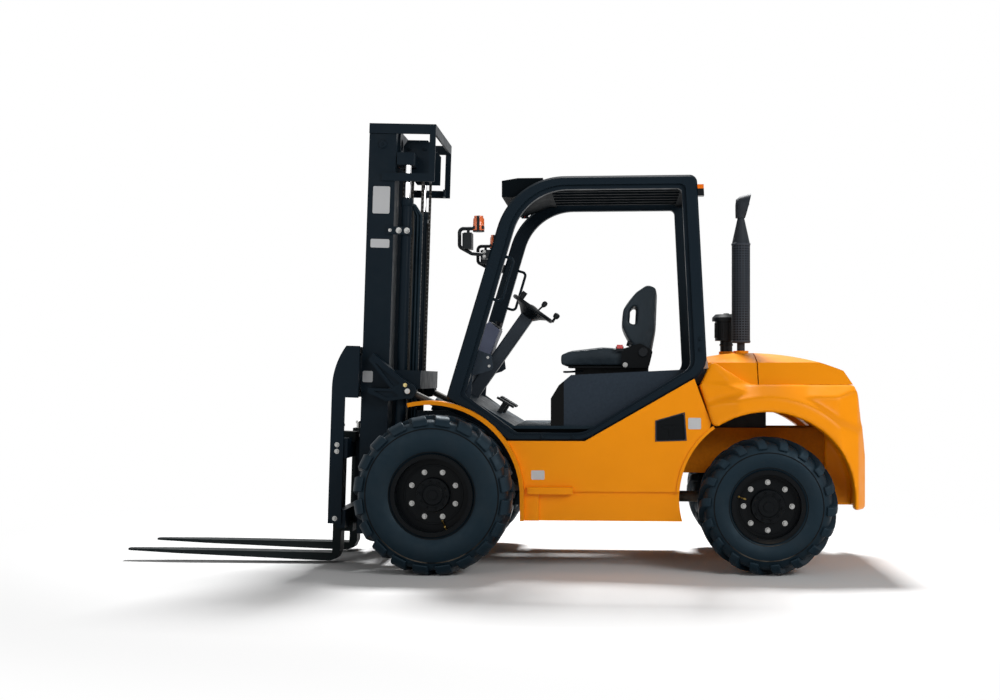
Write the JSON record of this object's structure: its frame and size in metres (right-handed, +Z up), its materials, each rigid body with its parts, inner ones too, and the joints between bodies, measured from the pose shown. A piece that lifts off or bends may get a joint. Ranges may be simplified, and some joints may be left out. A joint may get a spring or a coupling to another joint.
{
  "type": "rough terrain forklift",
  "caption": "Four-wheel-drive rough terrain forklift with a tilting two-stage mast, forks, overhead guard, steered rear wheels and an opening hood.",
  "frame": {"origin": "on the ground, under the middle of the overall length and width", "axes": "+X forward over the forks, +Y to the operator's left, +Z up"},
  "size_m": [4.4881, 1.8, 2.6792],
  "materials": {
    "orange_paint": "gloss paint",
    "black_paint": "satin paint",
    "grey_sheet": "matte paint",
    "tyre": "moulded rubber",
    "rim_black": "satin paint",
    "chrome": "polished",
    "steel": "bare steel",
    "cast_iron": "painted casting",
    "vinyl": "stitched cover",
    "plastic": "grained",
    "amber_lamp": "clear moulding",
    "exhaust_black": "heat-proof paint"
  },
  "bodies": {
    "chassis": {"air_precleaner": "plastic", "control_levers": "plastic", "counterweight": "orange_paint", "cowl": "grey_sheet", "dash_pod": "plastic", "drive_shafts": "cast_iron", "engine_block": "cast_iron", "exhaust_stack": "exhaust_black", "floor_plate": "grey_sheet", "frame": "black_paint", "front_axle": "cast_iron", "front_fenders": "orange_paint", "gearbox": "cast_iron", "grab_handles": "black_paint", "guard_ring_left": "black_paint", "guard_ring_right": "black_paint", "guard_roof": "black_paint", "headlamps": "plastic", "hood_front": "orange_paint", "latch_panels": "plastic", "pedals": "plastic", "rear_axle": "cast_iron", "rear_grille": "black_paint", "rear_lamps": "amber_lamp", "seat_back": "vinyl", "seat_box": "grey_sheet", "seat_cushion": "vinyl", "seat_frame": "plastic", "side_tank_left": "orange_paint", "side_tank_right": "orange_paint", "steering_column": "plastic", "turn_lamps": "amber_lamp"},
    "outer_mast": {"outer_mast": "black_paint", "lift_cylinders": "black_paint", "chains_rear": "steel"},
    "inner_mast": {"inner_mast": "black_paint", "lift_rods": "chrome", "chain_sheaves": "steel", "chains_front": "steel"},
    "carriage": {"carriage": "black_paint", "load_backrest": "black_paint", "fork_left": "black_paint", "fork_right": "black_paint"},
    "tilt_barrels": {"tilt_cylinders": "black_paint"},
    "tilt_rods": {"tilt_rods": "chrome"},
    "front_wheel_left": {"front_tyre_left": "tyre", "front_rim_left": "rim_black"},
    "front_wheel_right": {"front_tyre_right": "tyre", "front_rim_right": "rim_black"},
    "rear_wheel_left": {"rear_tyre_left": "tyre", "rear_rim_left": "rim_black"},
    "rear_wheel_right": {"rear_tyre_right": "tyre", "rear_rim_right": "rim_black"},
    "knuckle_left": {"knuckle_left": "cast_iron"},
    "knuckle_right": {"knuckle_right": "cast_iron"},
    "tie_rod": {"tie_rod": "cast_iron"},
    "steering_wheel": {"steering_wheel": "plastic"},
    "hood_lid": {"hood_lid": "orange_paint"}
  },
  "joints": [
    {"name": "mast_tilt", "type": "hinge", "parent": "chassis", "child": "outer_mast", "pos_m": [0.46302, 0, 0.38], "axis": [0, 1, 0], "range_deg": [-10, 8]},
    {"name": "mast_lift", "type": "slide", "parent": "outer_mast", "child": "inner_mast", "axis": [-0.0323, 0, 0.9995], "range_m": [0, 1.85], "deforming": ["chains_rear"]},
    {"name": "carriage_lift", "type": "slide", "parent": "inner_mast", "child": "carriage", "axis": [-0.0323, 0, 0.9995], "range_m": [0, 1.85], "deforming": ["chains_front"]},
    {"name": "tilt_barrel_swing", "type": "hinge", "parent": "chassis", "child": "tilt_barrels", "pos_m": [-0.05698, 0, 0.8], "axis": [0, 1, 0], "range_deg": [-5.44, 4.41]},
    {"name": "tilt_rod_slide", "type": "slide", "parent": "tilt_barrels", "child": "tilt_rods", "axis": [0.8972, 0, 0.4417], "range_m": [-0.1101, 0.0889]},
    {"name": "front_wheel_left_spin", "type": "hinge", "parent": "chassis", "child": "front_wheel_left", "pos_m": [0.27302, 0.725, 0.4605], "axis": [0, 1, 0], "continuous": true},
    {"name": "front_wheel_right_spin", "type": "hinge", "parent": "chassis", "child": "front_wheel_right", "pos_m": [0.27302, -0.725, 0.4605], "axis": [0, 1, 0], "continuous": true},
    {"name": "steer_left", "type": "hinge", "parent": "chassis", "child": "knuckle_left", "pos_m": [-1.64698, 0.44, 0.3975], "axis": [0, 0, 1], "range_deg": [-35, 35]},
    {"name": "steer_right", "type": "hinge", "parent": "chassis", "child": "knuckle_right", "pos_m": [-1.64698, -0.44, 0.3975], "axis": [0, 0, 1], "range_deg": [-35, 35]},
    {"name": "tie_rod_swing", "type": "hinge", "parent": "knuckle_left", "child": "tie_rod", "pos_m": [-1.84198, 0.44, 0.3975], "axis": [0, 0, 1], "range_deg": [-35, 35]},
    {"name": "rear_wheel_left_spin", "type": "hinge", "parent": "knuckle_left", "child": "rear_wheel_left", "pos_m": [-1.64698, 0.628, 0.3975], "axis": [0, 1, 0], "continuous": true},
    {"name": "rear_wheel_right_spin", "type": "hinge", "parent": "knuckle_right", "child": "rear_wheel_right", "pos_m": [-1.64698, -0.628, 0.3975], "axis": [0, 1, 0], "continuous": true},
    {"name": "steering_wheel_turn", "type": "hinge", "parent": "chassis", "child": "steering_wheel", "pos_m": [-0.25698, 0, 1.57], "axis": [-0.5779, 0, 0.8161], "continuous": true},
    {"name": "hood_lid_open", "type": "hinge", "parent": "chassis", "child": "hood_lid", "pos_m": [-2.14998, 0, 1.095], "axis": [0, -1, 0], "range_deg": [0, 60]}
  ],
  "couplings": [
    {"joint": "carriage_lift", "follows": "mast_lift", "ratio": 1},
    {"joint": "tilt_barrel_swing", "follows": "mast_tilt", "ratio": 0.51424},
    {"joint": "tilt_rod_slide", "follows": "mast_tilt", "m_per_rad": 0.608},
    {"joint": "steer_right", "follows": "steer_left", "ratio": 1},
    {"joint": "tie_rod_swing", "follows": "steer_left", "ratio": -1}
  ]
}
